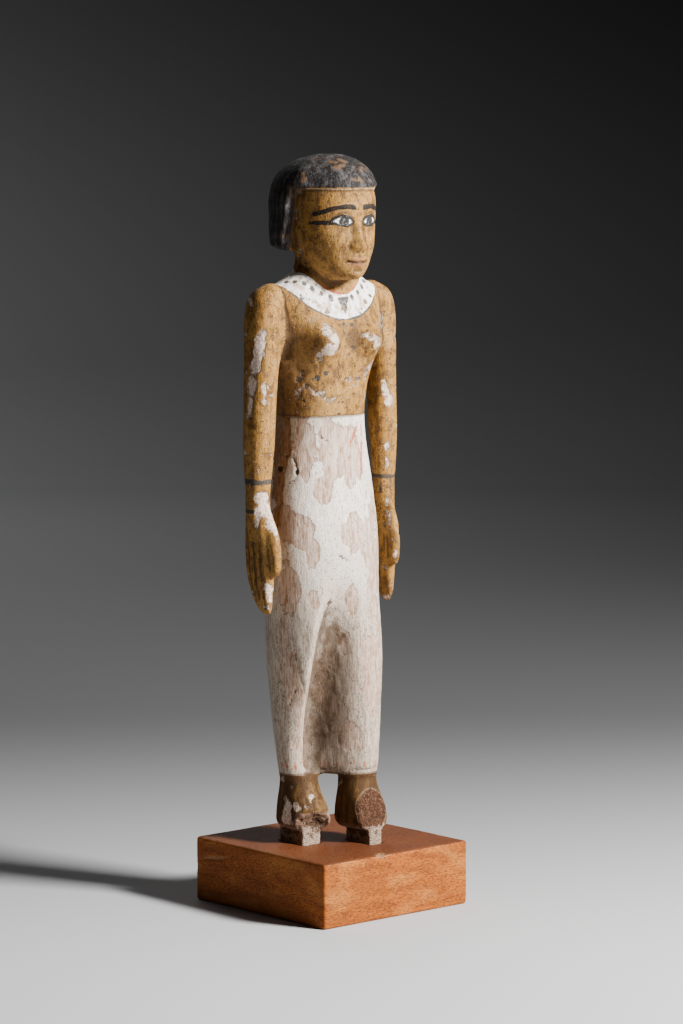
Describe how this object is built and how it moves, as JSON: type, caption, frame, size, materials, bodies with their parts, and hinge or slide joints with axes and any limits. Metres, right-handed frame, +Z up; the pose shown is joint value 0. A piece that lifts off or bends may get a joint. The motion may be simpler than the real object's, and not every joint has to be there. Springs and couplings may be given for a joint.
{
  "type": "painted wooden female statuette",
  "caption": "Standing woman carved in wood and painted, in a short wig, broad collar and long sheath dress, with the forefeet lost, on a plain wooden block.",
  "frame": {"origin": "centre of the block's flat underside", "axes": "+Z up along the figure, -Y is the way the figure faces, +X to the figure's left side"},
  "size_m": [0.0974, 0.0954, 0.3611],
  "materials": {
    "painted_wood": "matte worn paint over a white ground on wood",
    "block_wood": "satin, orange-brown, fine short pores"
  },
  "bodies": {
    "root": {"figure": "painted_wood", "right_arm": "painted_wood", "left_arm": "painted_wood", "base": "block_wood"}
  },
  "joints": []
}
